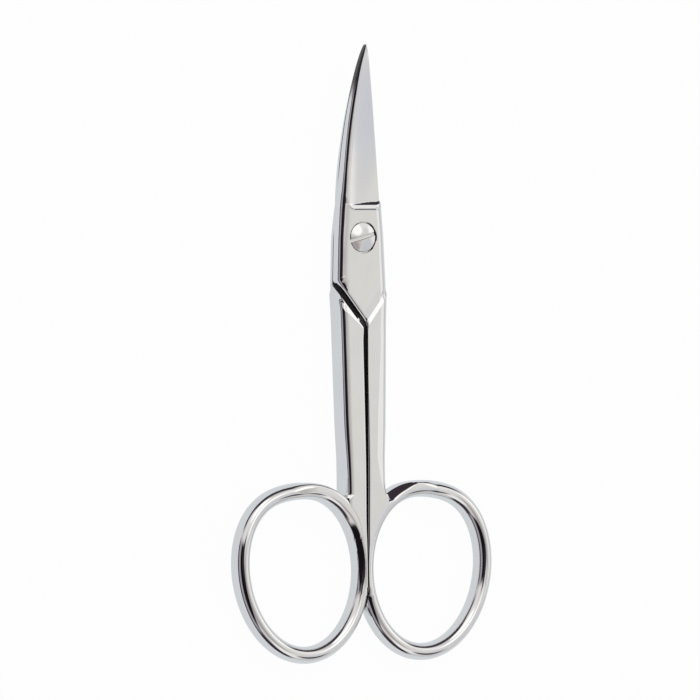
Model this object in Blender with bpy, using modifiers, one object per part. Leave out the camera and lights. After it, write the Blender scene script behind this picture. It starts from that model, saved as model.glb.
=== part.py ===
"""Manicure scissors, 90 mm long, closed and lying flat.

Three pieces: a front half and a back half, each one forging with its blade, its flat box round
the pivot, its shank and its finger ring, and a slotted pivot screw that holds them together.

+X is the width (the front half's ring is on +X), +Y runs along the scissors to the tips, and
+Z is up, the side of the screw's head. The origin is under the middle, on the surface that
the scissors lie on. Inside this file a half is worked out about the pivot, with its height
measured from the plane where the two halves meet.
"""
import math

import bmesh
import bpy
import numpy as np

MM = 0.001

# Lengths along the scissors, measured from the pivot
BLADE_REACH = 28.1 * MM          # pivot to tip
LEDGE_REACH = 4.4 * MM           # pivot to the ledge where the ground blade starts
V_TOP = 6.8 * MM                 # pivot to the box's lower corner
V_BOTTOM = 12.2 * MM             # pivot to the bottom of the box's V
SHANK_FLAT_END = 30.0 * MM       # pivot to where the shank starts to thin
TAIL_END = 51.0 * MM             # pivot to where the shank has run out inside its ring

# Half widths of the closed scissors
LEDGE_HALF_WIDTH = 3.37 * MM
PIVOT_HALF_WIDTH = 3.73 * MM
BOX_HALF_WIDTH = 4.00 * MM
SHANK_TOP_HALF_WIDTH = 3.71 * MM
SHANK_END_HALF_WIDTH = 3.04 * MM

# Thicknesses, each measured from the plane where the halves meet
BOX_HEIGHT = 1.75 * MM
SHANK_HEIGHT = 2.05 * MM
TAIL_HEIGHT = 1.66 * MM
SHOULDER_HEIGHT = 1.72 * MM      # height of the shank's shoulder wall, below its chamfer
SPINE_TIP_HEIGHT = 0.55 * MM
EDGE_ROOT_HEIGHT = 1.25 * MM     # blade thickness at its cutting edge, beside the ledge
EDGE_TIP_HEIGHT = 0.34 * MM

# Blade
BLADE_TAPER_SHARE = 1.37         # how the blade's outline narrows over its length
BLADE_POINT_SHARE = 0.66         # how full its outline stays towards the point
SPINE_THINNING_SHARE = 1.30
SPINE_LAND = 0.90 * MM           # band along the spine that the grinding leaves
EDGE_LEAN = 0.20 * MM            # how far the ground edge leans in over its height
LEDGE_RUN = 0.60 * MM
TIP_END_SHARE = 0.998            # the point is blunt by the last of the blade's length
TIP_FINE_SHARE = 0.95            # from here the sections lie closer together
BEND_START = 3.0 * MM            # the blades curve up from here
BEND_RADIUS = 107.7 * MM

# Gaps
MATING_GAP = 0.10 * MM           # between the two halves' flat faces
V_GAP = 1.05 * MM                # between a box's V and the other half's shoulder
RAMP_START = 0.52 * MM           # from the V's mirror line to the foot of the ramp
SHANK_GAP = 0.66 * MM            # between the shanks, at the V
RING_GAP = 0.16 * MM             # between the rings, where the closed halves meet

# Edges
SPINE_ROUND = 0.25 * MM
SIDE_ROUND_WIDTH = 1.20 * MM     # the outer side's softer edge
SIDE_ROUND_HEIGHT = 0.50 * MM
EDGE_ROUND = 0.15 * MM           # the ground blade's edge, where that softer edge has ended
BACK_ROUND = 0.30 * MM
SHOULDER_RUN = 0.10 * MM
SHOULDER_CHAMFER = 0.50 * MM

# Finger ring: an oval wire, its centre line measured from the pivot
RING_X = 10.74 * MM
RING_Y = 46.31 * MM
RING_HALF_WIDTH = 9.69 * MM
RING_HALF_LENGTH = 11.93 * MM
RING_DROOP = 2.43 * MM           # makes the ring fuller towards its lower end
RING_EGG_SHARE = -0.355
RING_TILT = -6.06                # degrees
WIRE_HALF_WIDTH = 1.27 * MM
WIRE_FLAT_HALF_WIDTH = 1.21 * MM  # where the shank runs into the ring
WIRE_HALF_DEPTH = 1.64 * MM
WIRE_FLAT_ANGLE = 152.0          # degrees round the ring to the middle of that run-in
WIRE_FLAT_START_SHARE = 0.35     # cosine of the turn from there at which it starts
WIRE_FLAT_FULL_SHARE = 0.85      # and at which it is complete
WIRE_SQUARE_SHARE = 2.5          # how much squarer than an oval the wire is there
TAIL_CLEAR = 0.02 * MM           # how far the shank's run-out stands proud of the wire

# Pivot screw and its holes
HEAD_RADIUS = 2.13 * MM
HEAD_SEAT = 0.85 * MM            # height of the counterbore's floor
HEAD_EDGE_HEIGHT = 1.55 * MM
HEAD_DOME_HEIGHT = 1.85 * MM
HEAD_CHAMFER = 0.08 * MM
SLOT_WIDTH = 0.52 * MM
SLOT_DEPTH = 0.50 * MM
SLOT_ANGLE = 15.0                # degrees
PIN_RADIUS = 1.20 * MM
PIN_END_HEIGHT = 1.72 * MM
PIN_CHAMFER = 0.15 * MM
BORE_CLEARANCE = 0.05 * MM
HEAD_CLEARANCE = 0.12 * MM
SEAT_CLEARANCE = 0.05 * MM
CUT_OVERRUN = 1.0 * MM

# How finely the surfaces are divided
RING_STEPS = 60
WIRE_STEPS = 14
TURN_STEPS = 36
DOME_STEPS = 6


def blend(low, high, share):
    """Straight change from low to high, held at both ends."""
    share = min(max(share, 0.0), 1.0)
    return low + (high - low) * share


def ease(low, high, share):
    """The same change with soft ends."""
    share = min(max(share, 0.0), 1.0)
    return low + (high - low) * share * share * (3.0 - 2.0 * share)


def bend(y):
    """How far both blades have curved up at y."""
    return max(y - BEND_START, 0.0) ** 2 / (2.0 * BEND_RADIUS)


def ring_line(angle):
    """Centre line of the finger ring's wire: an ellipse, fuller at one end, then tilted."""
    across = RING_HALF_WIDTH * math.cos(angle) * (1.0 + RING_EGG_SHARE * math.sin(angle))
    along = RING_HALF_LENGTH * math.sin(angle) + RING_DROOP * math.cos(2.0 * angle)
    tilt = math.radians(RING_TILT)
    x = RING_X + across * math.cos(tilt) - along * math.sin(tilt)
    y = -RING_Y + across * math.sin(tilt) + along * math.cos(tilt)
    return x, y


def ring_side(y):
    """X of the ring's centre line at y, on the side beside the gap."""
    angles = np.linspace(math.radians(95), math.radians(250), 120)
    line = np.array([ring_line(angle) for angle in angles])
    return float(np.interp(-y, -line[:, 1], line[:, 0]))


def half_gap(y):
    """Half the gap between the shanks, from the V down to where the rings meet."""
    return blend(SHANK_GAP, RING_GAP, (-V_BOTTOM - y) / (TAIL_END - V_BOTTOM)) / 2.0


def half_width(y):
    """Outline of the closed scissors: pointed blade, box, then shank."""
    if y >= LEDGE_REACH:
        share = (y - LEDGE_REACH) / (BLADE_REACH - LEDGE_REACH)
        return LEDGE_HALF_WIDTH * (1.0 - share ** BLADE_TAPER_SHARE) ** BLADE_POINT_SHARE
    places = [-TAIL_END, -V_BOTTOM, -V_TOP, 0.0, LEDGE_REACH]
    widths = [SHANK_END_HALF_WIDTH, SHANK_TOP_HALF_WIDTH, BOX_HALF_WIDTH,
              PIVOT_HALF_WIDTH, LEDGE_HALF_WIDTH]
    return float(np.interp(y, places, widths))


def v_slope():
    """How much the box's slanted lower edge moves across for each length along."""
    return (BOX_HALF_WIDTH + SHANK_GAP / 2.0) / (V_BOTTOM - V_TOP)


def v_line(y):
    """X of the box's slanted lower edge at y."""
    return -BOX_HALF_WIDTH + (-V_TOP - y) * v_slope()


def beside_v(y, distance):
    """X of the line that far outside the other half's V."""
    return -v_line(y) + distance * math.hypot(1.0, v_slope())


def shoulder_line(y):
    """X of the shank's shoulder, which runs beside the other half's V."""
    return beside_v(y, V_GAP)


def shoulder_end():
    """Y where the shoulder and its chamfer have run out to the gap between the shanks."""
    across = shoulder_line(-V_BOTTOM) + SHOULDER_RUN + SHOULDER_CHAMFER
    return -V_BOTTOM - across / v_slope()


def left_side(y):
    """Spine of the blade and box, then the V, then the inner side of the shank."""
    if y >= -V_TOP:
        return -half_width(y)
    if y >= -V_BOTTOM:
        return v_line(y)
    return half_gap(y)


def right_side(y):
    """Cutting edge, outer side of the box and shank, then the run-out inside the wire."""
    if y >= -SHANK_FLAT_END:
        return half_width(y)
    return min(half_width(y), ring_side(y) + WIRE_HALF_WIDTH / 4.0)


def shank_height(y):
    """Height of the shank's flats, thinning to the ring's wire."""
    share = (-SHANK_FLAT_END - y) / (TAIL_END - SHANK_FLAT_END)
    return ease(SHANK_HEIGHT, TAIL_HEIGHT, share)


def top_height(x, y):
    """Outer face of a half: ground blade, ledge, box, ramp up to the shank's flat."""
    share = max(y - LEDGE_REACH, 0.0) / (BLADE_REACH - LEDGE_REACH)
    spine = blend(BOX_HEIGHT, SPINE_TIP_HEIGHT, share ** SPINE_THINNING_SHARE)
    edge = blend(EDGE_ROOT_HEIGHT, EDGE_TIP_HEIGHT, share)
    land = min(SPINE_LAND, half_width(y) / 2.0)
    across = (x + half_width(y) - land) / max(2.0 * half_width(y) - land, land)
    ground = blend(spine, edge, across)
    face = ease(BOX_HEIGHT, ground, (y - LEDGE_REACH) / LEDGE_RUN)
    foot = beside_v(y, RAMP_START)
    ramp = (x - foot) / (shoulder_line(y) - foot)
    return face + (shank_height(y) - BOX_HEIGHT) * min(max(ramp, 0.0), 1.0)


def bottom_height(x, y):
    """Inner face: flat where the halves meet, then the shoulder and the shank's back."""
    mating = MATING_GAP / 2.0
    wall = (x - shoulder_line(y)) / SHOULDER_RUN
    chamfer = (x - shoulder_line(y) - SHOULDER_RUN) / SHOULDER_CHAMFER
    height = blend(mating, -SHOULDER_HEIGHT, wall)
    return height + blend(0.0, SHOULDER_HEIGHT - shank_height(y), chamfer)


def in_order(places, low, high):
    """Places sorted, and kept between low and high and a little apart."""
    apart = (high - low) / (4.0 * len(places))
    count = len(places)
    kept = [max(place, low + apart * (index + 1)) for index, place in enumerate(sorted(places))]
    return [min(place, high - apart * (count - index)) for index, place in enumerate(kept)]


def corner(x, z, width, height, quarter, steps):
    """Points of an elliptical edge round a corner, from its start to its end."""
    turns = [quarter * math.pi / 2.0 - math.pi / 2.0 * step / steps for step in range(steps + 1)]
    return [(x + width * math.cos(turn), z + height * math.sin(turn)) for turn in turns]


def half_section(y):
    """Outline of one half across the scissors at y, as (x, z) points."""
    left, right = left_side(y), right_side(y)
    width = right - left
    spine_height = top_height(left, y) - max(bottom_height(left, y), 0.0)
    spine_round = min(SPINE_ROUND, width / 6.0, spine_height / 3.0)
    ground = (y - LEDGE_REACH) / LEDGE_RUN
    side_width = min(blend(SIDE_ROUND_WIDTH, EDGE_ROUND, ground), width / 3.0)
    side_height = min(blend(SIDE_ROUND_HEIGHT, EDGE_ROUND, ground), width / 6.0)
    back_round = min(blend(BACK_ROUND, EDGE_ROUND, ground), width / 12.0)
    lean = blend(0.0, min(EDGE_LEAN, width / 12.0), ground)

    start, end = left + spine_round, right - lean - side_width
    middle = (left + right) / 2.0
    ramp = [beside_v(y, RAMP_START), shoulder_line(y)]
    flats = in_order([left + SPINE_LAND, middle] + ramp, start, end)
    low = in_order([shoulder_line(y), shoulder_line(y) + SHOULDER_RUN,
                    shoulder_line(y) + SHOULDER_RUN + SHOULDER_CHAMFER],
                   left, right - back_round)

    points = [(left, bottom_height(left, y))]
    points += corner(start, top_height(start, y) - spine_round, spine_round, spine_round, 2, 2)
    points += [(x, top_height(x, y)) for x in flats]
    points += corner(end, top_height(end, y) - side_height, side_width, side_height, 1, 3)
    base = bottom_height(right, y)
    points += [(right, base + back_round), (right - back_round, bottom_height(right - back_round, y))]
    points += [(x, bottom_height(x, y)) for x in reversed(low)]
    return points


def half_stations():
    """Places along the scissors where a section is taken, closest where the shape changes."""
    tip = blend(LEDGE_REACH, BLADE_REACH, TIP_END_SHARE)
    near_tip = blend(LEDGE_REACH, BLADE_REACH, TIP_FINE_SHARE)
    spans = [
        (tip, near_tip, 4),
        (near_tip, LEDGE_REACH + LEDGE_RUN, 14),
        (LEDGE_REACH + LEDGE_RUN, LEDGE_REACH, 4),
        (LEDGE_REACH, -V_TOP, 4),
        (-V_TOP, -V_BOTTOM, 14),
        (-V_BOTTOM, shoulder_end(), 6),
        (shoulder_end(), -SHANK_FLAT_END, 4),
        (-SHANK_FLAT_END, -TAIL_END, 14),
    ]
    stations = [tip]
    for start, end, steps in spans:
        stations += [blend(start, end, (step + 1) / steps) for step in range(steps)]
    return stations


def skin(sections, closed):
    """Closed mesh through a row of like-numbered sections of 3D points."""
    mesh = bmesh.new()
    rows = [[mesh.verts.new(point) for point in section] for section in sections]
    following = rows[1:] + rows[:1] if closed else rows[1:]
    for row, other in zip(rows, following):
        for index in range(len(row)):
            nearby = (index + 1) % len(row)
            mesh.faces.new((row[index], row[nearby], other[nearby], other[index]))
    if not closed:
        mesh.faces.new(rows[0])
        mesh.faces.new(reversed(rows[-1]))
    bmesh.ops.recalc_face_normals(mesh, faces=mesh.faces)
    return mesh


def turned(x, y, z, side):
    """Place on the front half (side 1), or turned about the long axis for the back half."""
    return side * x, y, side * z + bend(y)


def body_mesh(side):
    """Blade, box and shank of one half, as a loft of sections along the scissors."""
    sections = [[turned(x, y, z, side) for x, z in half_section(y)] for y in half_stations()]
    return skin(sections, closed=False)


def wire_section(angle, side):
    """Section of the ring's wire: oval, and flatter and deeper where the shank runs in."""
    step = math.radians(0.5)
    x, y = ring_line(angle)
    ahead, behind = ring_line(angle + step), ring_line(angle - step)
    along = math.hypot(ahead[0] - behind[0], ahead[1] - behind[1])
    out_x, out_y = (ahead[1] - behind[1]) / along, (behind[0] - ahead[0]) / along
    near = math.cos(angle - math.radians(WIRE_FLAT_ANGLE)) - WIRE_FLAT_START_SHARE
    flat = ease(0.0, 1.0, near / (WIRE_FLAT_FULL_SHARE - WIRE_FLAT_START_SHARE))
    width = blend(WIRE_HALF_WIDTH, WIRE_FLAT_HALF_WIDTH, flat)
    depth = blend(WIRE_HALF_DEPTH, shank_height(y) - TAIL_CLEAR, flat)
    power = 2.0 / (2.0 + WIRE_SQUARE_SHARE * flat)
    points = []
    for index in range(WIRE_STEPS):
        turn = 2.0 * math.pi * index / WIRE_STEPS
        across = width * math.copysign(abs(math.cos(turn)) ** power, math.cos(turn))
        height = depth * math.copysign(abs(math.sin(turn)) ** power, math.sin(turn))
        point_y = y + across * out_y
        point_x = max(x + across * out_x, half_gap(point_y) + TAIL_CLEAR)
        points.append((side * point_x, point_y, side * height))
    return points


def ring_mesh(side):
    """Finger ring of one half, as a closed loft round its centre line."""
    angles = [2.0 * math.pi * step / RING_STEPS for step in range(RING_STEPS)]
    return skin([wire_section(angle, side) for angle in angles], closed=True)


def collection(name):
    """Empty collection linked to the scene."""
    made = bpy.data.collections.new(name)
    bpy.context.scene.collection.children.link(made)
    return made


def steel(name, colour, roughness):
    """Polished, nickel-plated steel."""
    material = bpy.data.materials.new(name)
    material.use_nodes = True
    shader = material.node_tree.nodes["Principled BSDF"]
    shader.inputs["Base Color"].default_value = (*colour, 1.0)
    shader.inputs["Metallic"].default_value = 1.0
    shader.inputs["Roughness"].default_value = roughness
    return material


def add_object(name, mesh, group, parent):
    """Object from a bmesh, in a collection, carried by the pivot."""
    data = bpy.data.meshes.new(name)
    mesh.to_mesh(data)
    mesh.free()
    made = bpy.data.objects.new(name, data)
    made.parent = parent
    group.objects.link(made)
    return made


def hide_cutter(cutter):
    """Leaves a cutter out of the model."""
    cutter.hide_render = True
    cutter.display_type = "WIRE"


def boolean(target, other, operation):
    """Joins or cuts with the exact solver."""
    modifier = target.modifiers.new(other.name, "BOOLEAN")
    modifier.operation = operation
    modifier.object = other
    modifier.solver = "EXACT"


def cylinder_cutter(name, radius, low, high, group, parent):
    """Upright cylinder on the pivot's axis."""
    mesh = bmesh.new()
    bmesh.ops.create_cone(mesh, cap_ends=True, segments=TURN_STEPS, radius1=radius,
                          radius2=radius, depth=high - low)
    bmesh.ops.translate(mesh, verts=mesh.verts, vec=(0.0, 0.0, (low + high) / 2.0))
    cutter = add_object(name, mesh, group, parent)
    hide_cutter(cutter)
    return cutter


def add_half(name, side, material, parts, cutters, pivot):
    """One forged half: body and ring joined, then bored for the screw."""
    half = add_object(name, body_mesh(side), parts, pivot)
    half.data.materials.append(material)
    ring = add_object(name + "_ring", ring_mesh(side), cutters, pivot)
    hide_cutter(ring)
    boolean(half, ring, "UNION")
    bore = cylinder_cutter(name + "_bore", PIN_RADIUS + BORE_CLEARANCE,
                           -BOX_HEIGHT - CUT_OVERRUN, BOX_HEIGHT + CUT_OVERRUN, cutters, pivot)
    boolean(half, bore, "DIFFERENCE")
    if side > 0:
        counterbore = cylinder_cutter(name + "_counterbore", HEAD_RADIUS + HEAD_CLEARANCE,
                                      HEAD_SEAT, BOX_HEIGHT + CUT_OVERRUN, cutters, pivot)
        boolean(half, counterbore, "DIFFERENCE")
    half.data.set_sharp_from_angle(angle=math.radians(30))
    return half


def screw_profile():
    """Right-hand outline of the pivot screw, from the top of its head to its end."""
    rise = HEAD_DOME_HEIGHT - HEAD_EDGE_HEIGHT
    flat = HEAD_RADIUS - HEAD_CHAMFER
    dome = [step / DOME_STEPS for step in range(DOME_STEPS)]
    points = [(flat * share, HEAD_DOME_HEIGHT - rise * share * share) for share in dome]
    points += [
        (flat, HEAD_EDGE_HEIGHT),
        (HEAD_RADIUS, HEAD_EDGE_HEIGHT - HEAD_CHAMFER),
        (HEAD_RADIUS, HEAD_SEAT + SEAT_CLEARANCE),
        (PIN_RADIUS, HEAD_SEAT + SEAT_CLEARANCE),
        (PIN_RADIUS, -PIN_END_HEIGHT + PIN_CHAMFER),
        (PIN_RADIUS - PIN_CHAMFER, -PIN_END_HEIGHT),
        (0.0, -PIN_END_HEIGHT),
    ]
    return points


def add_screw(name, material, parts, cutters, pivot):
    """Slotted pivot screw: a turned profile with one straight slot."""
    profile = bmesh.new()
    verts = [profile.verts.new((x, 0.0, z)) for x, z in screw_profile()]
    for first, second in zip(verts, verts[1:]):
        profile.edges.new((first, second))
    screw = add_object(name, profile, parts, pivot)
    screw.data.materials.append(material)
    turn = screw.modifiers.new("turn", "SCREW")
    turn.axis = "Z"
    turn.steps = TURN_STEPS
    turn.render_steps = TURN_STEPS
    turn.use_merge_vertices = True
    turn.merge_threshold = HEAD_CHAMFER / 100.0
    turn.use_smooth_shade = False

    slot_mesh = bmesh.new()
    bmesh.ops.create_cube(slot_mesh, size=1.0)
    length = 2.0 * (HEAD_RADIUS + CUT_OVERRUN)
    height = SLOT_DEPTH + CUT_OVERRUN
    bmesh.ops.scale(slot_mesh, verts=slot_mesh.verts, vec=(length, SLOT_WIDTH, height))
    middle = HEAD_DOME_HEIGHT - SLOT_DEPTH + height / 2.0
    bmesh.ops.translate(slot_mesh, verts=slot_mesh.verts, vec=(0.0, 0.0, middle))
    slot = add_object(name + "_slot", slot_mesh, cutters, pivot)
    slot.rotation_euler[2] = math.radians(SLOT_ANGLE)
    hide_cutter(slot)
    boolean(screw, slot, "DIFFERENCE")
    return screw


def ring_bottom():
    """Lowest Y of the finger rings."""
    angles = [2.0 * math.pi * step / RING_STEPS for step in range(RING_STEPS)]
    return min(point[1] for angle in angles for point in wire_section(angle, 1))


for old in list(bpy.data.objects):
    bpy.data.objects.remove(old, do_unlink=True)

PARTS = collection("manicure_scissors")
CUTTERS = collection("cutters")

PIVOT = bpy.data.objects.new("pivot", None)
PIVOT.location = (0.0, -(half_stations()[0] + ring_bottom()) / 2.0, SHANK_HEIGHT)
PARTS.objects.link(PIVOT)

add_half("front_half", 1, steel("front_half_nickel", (0.80, 0.79, 0.77), 0.14),
         PARTS, CUTTERS, PIVOT)
add_half("back_half", -1, steel("back_half_nickel", (0.79, 0.78, 0.77), 0.14),
         PARTS, CUTTERS, PIVOT)
add_screw("pivot_screw", steel("pivot_screw_nickel", (0.76, 0.75, 0.74), 0.20),
          PARTS, CUTTERS, PIVOT)
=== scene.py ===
"""Manicure scissors, 90 mm long, closed and lying flat under soft studio light.

Three pieces: a front and a back half, each one polished forging, and a slotted pivot screw.
A half is worked out in millimetres about the pivot, with its height measured from the plane
where the two halves meet, and is then put in its place in the scissors.
"""

import math

import bpy
import numpy as np
from mathutils import Matrix, Vector


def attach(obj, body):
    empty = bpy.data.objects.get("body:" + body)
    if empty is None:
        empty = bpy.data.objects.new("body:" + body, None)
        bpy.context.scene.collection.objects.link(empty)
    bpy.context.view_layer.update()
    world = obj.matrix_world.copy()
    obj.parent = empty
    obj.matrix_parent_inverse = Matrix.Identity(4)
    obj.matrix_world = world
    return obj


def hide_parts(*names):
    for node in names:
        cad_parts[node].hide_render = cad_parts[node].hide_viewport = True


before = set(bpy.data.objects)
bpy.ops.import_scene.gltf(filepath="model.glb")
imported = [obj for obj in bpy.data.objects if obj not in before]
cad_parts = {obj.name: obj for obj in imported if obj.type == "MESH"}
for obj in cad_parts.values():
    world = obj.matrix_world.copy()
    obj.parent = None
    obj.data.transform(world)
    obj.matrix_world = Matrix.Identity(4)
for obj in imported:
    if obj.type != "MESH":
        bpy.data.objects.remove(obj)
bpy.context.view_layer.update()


# Front and back half: one stainless-steel forging each, with blade, flat box, shank and ring.
# The blade is ground hollow up to a ledge, the finger ring is bent round and forge-welded to
# the shank, and the whole is polished and then plated with bright nickel. Sizes are in mm.
MM = 0.001
PIVOT_PLACE = np.array([0.0, 16.9156, 2.05])

BLADE_REACH = 28.1               # pivot to tip
LEDGE_REACH = 4.43               # pivot to the ledge where the ground blade starts
V_TOP = 6.8                      # pivot to the box's lower corner
V_BOTTOM = 12.2                  # pivot to the bottom of the box's V
SHANK_FLAT_END = 30.0            # pivot to where the shank starts to thin
TAIL_END = 51.0                  # pivot to where the shank has run out inside its ring

LEDGE_HALF_WIDTH = 3.37
PIVOT_HALF_WIDTH = 3.73
BOX_HALF_WIDTH = 4.00
SHANK_TOP_HALF_WIDTH = 3.71
SHANK_END_HALF_WIDTH = 3.04

BOX_HEIGHT = 1.75
SHANK_HEIGHT = 2.05
TAIL_HEIGHT = 1.66
SHOULDER_HEIGHT = 1.72
SPINE_TIP_HEIGHT = 0.55
EDGE_ROOT_HEIGHT = 1.25
EDGE_TIP_HEIGHT = 0.34

BLADE_TAPER = 1.37
BLADE_POINT = 0.66
SPINE_THINNING = 1.3
SPINE_LAND = 1.0                 # band along the spine that the grinding leaves
HOLLOW_DEPTH = 0.16              # how far the ground face is hollowed, beside the ledge
HOLLOW_FADE = 1.5                # power of the way to the tip by which the hollow dies out
EDGE_LEAN = 0.20
LEDGE_RUN = 0.80                 # over which the outer side's bulge ends beside the ledge
BACK_LEDGE_RUN = 6.15            # on the back half the ledge is a long, soft slope
BACK_LEDGE_EARLY = 5.4           # that starts this much sooner
LEDGE_LIP = 0.090                # the ledge's lip stands a little proud of the box
LEDGE_LIP_PLACE = 0.22           # highest this far before the ledge
LEDGE_LIP_WIDTH = 0.19
LEDGE_LIP_GROWTH = 6.0           # and full after one part in so many of the way across
LEDGE_LIP_RUN = 0.28             # it falls softly over this
LEDGE_LIP_FALL = 0.36            # at this slope
LEDGE_WALL_FALL = 0.92           # and ends as a wall of this slope
LEDGE_SOFTNESS = 0.06
LEDGE_WALL_SOFTNESS = 0.03
LEDGE_LEFT_RISE = 0.50           # the ledge line turns up at both ends
LEDGE_RIGHT_RISE = 0.30
LEDGE_TURN = 0.90
LEDGE_CURL_BEFORE = 2.5          # the skin's rows turn up with it, from this far before it
LEDGE_CURL_AFTER = 1.0           # to this far past it
LEDGE_CURL_RUN = 1.5
BEND_START = 3.0                 # pivot to where the blades start to curve up
BEND_RADIUS = 107.7

MATING_GAP = 0.10
V_GAP = 1.05                     # past the other half's V to the shoulder and the ramp's end
SHOULDER_FOOT = 0.36             # the shoulder leans: its foot is nearer to the V than its top
RAMP_START = 0.56
SHANK_GAP = 0.66                 # between the shanks at the V
RING_GAP = 0.16                  # and at the rings
GAP_CLOSING = 1.8                # how much faster than evenly the gap starts to narrow

WALL_BULGE = 0.35                # the walls of box and shank stand out between their edges
WALL_TURN_DEGREES = 66.0         # and turn in by this much before they meet a flat
SPINE_BULGE_START = 2.0          # up from here the spine's wall grows plain
SPINE_BULGE_RUN = 9.0
SIDE_BULGE_END = -26.0           # and down from here the outer side's does, beside the ring
SIDE_BULGE_RUN = 10.0
BOX_INSET = 0.36                 # from a wall's half width in to the flat's edge
BLADE_INSET = 0.50
BLADE_INSET_START = 1.0
BLADE_INSET_RUN = 5.0
SHANK_INSET = 0.28
PLAIN_SHANK_INSET = 0.20         # added where the shank's outer side doesn't stand out
V_INSET = 0.40
GAP_INSET = 0.06
GAP_INSET_START = 0.5            # above the V's bottom
GAP_INSET_RUN = 2.0
SIDE_ARC = 0.75                  # the outer side's rounding, beyond its facet
SIDE_DROP = 0.70
SIDE_DROP_BY_BULGE = 1.9
SIDE_START_DEGREES = 20.0
SIDE_FACET_DEGREES = 13.0
SIDE_LEAST = 0.03                # what a facet keeps beside its rounding
LOW_FACET_DEGREES = 2.0          # beside the V the box falls away past a line
LOW_FACET_SIDE = 2.8             # that runs down the box this far to the side
LOW_FACET_FOOT_X = 0.33          # and then turns in, along the V, through this point
LOW_FACET_FOOT_Y = -10.0
LOW_FACET_CORNER = 0.5           # its corner is rounded off over this
LOW_FACET_SOFTNESS = 0.08
LOW_FACET_START = 3.0            # it begins here and is full at the next
LOW_FACET_FULL = -1.0
ROLL_REACH = 0.9                 # polishing rolls a flat off beside its sharp edge
ROLL_DROP = 0.080
ROLL_ON_BLADE = 0.35             # less so on the blade
SPINE_END = 0.2                  # above the box's lower corner, where the spine's form gives way
SPINE_END_RUN = 1.4              # to that of the V over this
SPINE_ROUND = 0.27
SPINE_ROUND_START = -20.0        # down from here the left edge becomes a plain rounding
SPINE_ROUND_RUN = 12.0
EDGE_ROUND = 0.12
MATING_ROUND = 0.10
GAP_ROUND_WIDTH = 0.50           # the softer edge beside the gap, on a shank's back
GAP_ROUND_HEIGHT = 0.26
GAP_ROUND_START = 0.3            # it grows from this far below the V
GAP_ROUND_RUN = 3.0
EDGE_BREAK = 0.05
SHOULDER_RUN = 0.10
SHOULDER_CHAMFER = 1.00          # widest at the outer side
SHOULDER_NARROW = 0.22           # and this share of it at the gap
BACK_START_RUN = 0.4             # past the shoulder, until the shank's back has its full form
CORNER_SOFTNESS = 0.35

RING_X = 10.74                   # the ring's middle, across and down from the pivot
RING_Y = 46.31
RING_HALF_WIDTH = 9.69
RING_HALF_LENGTH = 11.93
RING_DROOP = 2.43
RING_EGG = -0.355
RING_TILT_DEGREES = -6.06
WIRE_HALF_WIDTH = 1.25
WIRE_FLAT_HALF_WIDTH = 1.21
WIRE_HALF_DEPTH = 1.64
WIRE_FLAT_DEGREES = 152.0        # round the ring from +X, where the wire is flat like the shank
WIRE_FLAT_START = 0.35           # cosines of the angles from there where that starts
WIRE_FLAT_FULL = 0.85            # and where it is full
WIRE_SQUARENESS = 2.5            # how much squarer than an oval it is there, on its outer side
HOLE_SQUARENESS = 0.2            # and towards the hole
NOTCH_BEVEL_WIDTH = 1.30         # the wire's front is bevelled outwards beside the notch
NOTCH_BEVEL_DEGREES = [75.0, 90.0, 104.0, 113.0, 121.0, 132.0, 150.0, 165.0]
NOTCH_BEVEL_SHARES = [0.0, 0.22, 0.26, 0.28, 0.37, 0.62, 0.85, 0.0]    # of that width there
NOTCH_BEVEL_TURN = [86.0, 106.0]     # degrees round the ring between which its slope changes
NOTCH_BEVEL_SLOPES = [0.90, 1.20]
NOTCH_BEVEL_SOFTNESS = 0.10
BEVEL_DEGREES = 188.0            # there the wire's back is bevelled towards the hole
BEVEL_START = 0.883
BEVEL_FULL = 0.978
BEVEL_PLACE = 0.14
BEVEL_SLOPE = 0.70
BEVEL_SOFTNESS = 0.06
WIRE_CLEAR = 0.004
NO_LIMIT = 9.0                   # wider than the wire, where nothing cuts it off
NOTCH_ROUND = 0.40               # fillet between the shank and the ring

HEAD_RADIUS = 2.13
HEAD_SEAT = 0.85
HEAD_CLEARANCE = 0.12
PIN_RADIUS = 1.20
BORE_CLEARANCE = 0.05
BORE_RIM = 0.07                  # chamfer round the counterbore's rim
BORE_REACH = 2.75                # the cutters of the bores end this far from the middle
BORE_STEPS = 96
SHARP_DEGREES = 20.0             # an edge that turns by more than this stays sharp

TOUCHING = 0.02                  # a point this near to a line or face counts as on it
# Painted shade: shares of a darker steel colour that stands in for the shade between the halves and
# near the tip; they also make the steel rougher, as ground.
MATING_PAINTED_SHADE = 0.5              # share of painted shade, a darker and rougher steel, on the mating flat
GAP_PAINTED_SHADE = 0.75                # on the walls of the gap, where shade falls between the halves
TIP_PAINTED_SHADE = 0.9                 # and on the spine's narrow wall near the tip
TIP_SHADE_START = 19.5          # pivot to where that begins
TIP_SHADE_RUN = 3.5


def held(share):
    """The share, kept between nothing and all."""
    return np.clip(share, 0.0, 1.0)


def blend(low, high, share):
    """Straight change from low to high, held at both ends."""
    return low + (high - low) * held(share)


def ease(low, high, share):
    """The same change with soft ends: three share squared less two share cubed."""
    part = held(share)
    return low + (high - low) * part * part * (3.0 - 2.0 * part)


def half_width(y):
    """Half the closed scissors' width: a pointed blade, then straight runs along box and shank."""
    share = held((y - LEDGE_REACH) / (BLADE_REACH - LEDGE_REACH))
    blade = LEDGE_HALF_WIDTH * (1.0 - share ** BLADE_TAPER) ** BLADE_POINT
    places = [-TAIL_END, -V_BOTTOM, -V_TOP, 0.0, LEDGE_REACH]
    widths = [SHANK_END_HALF_WIDTH, SHANK_TOP_HALF_WIDTH, BOX_HALF_WIDTH, PIVOT_HALF_WIDTH,
              LEDGE_HALF_WIDTH]
    return np.where(y >= LEDGE_REACH, blade, np.interp(y, places, widths))


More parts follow.
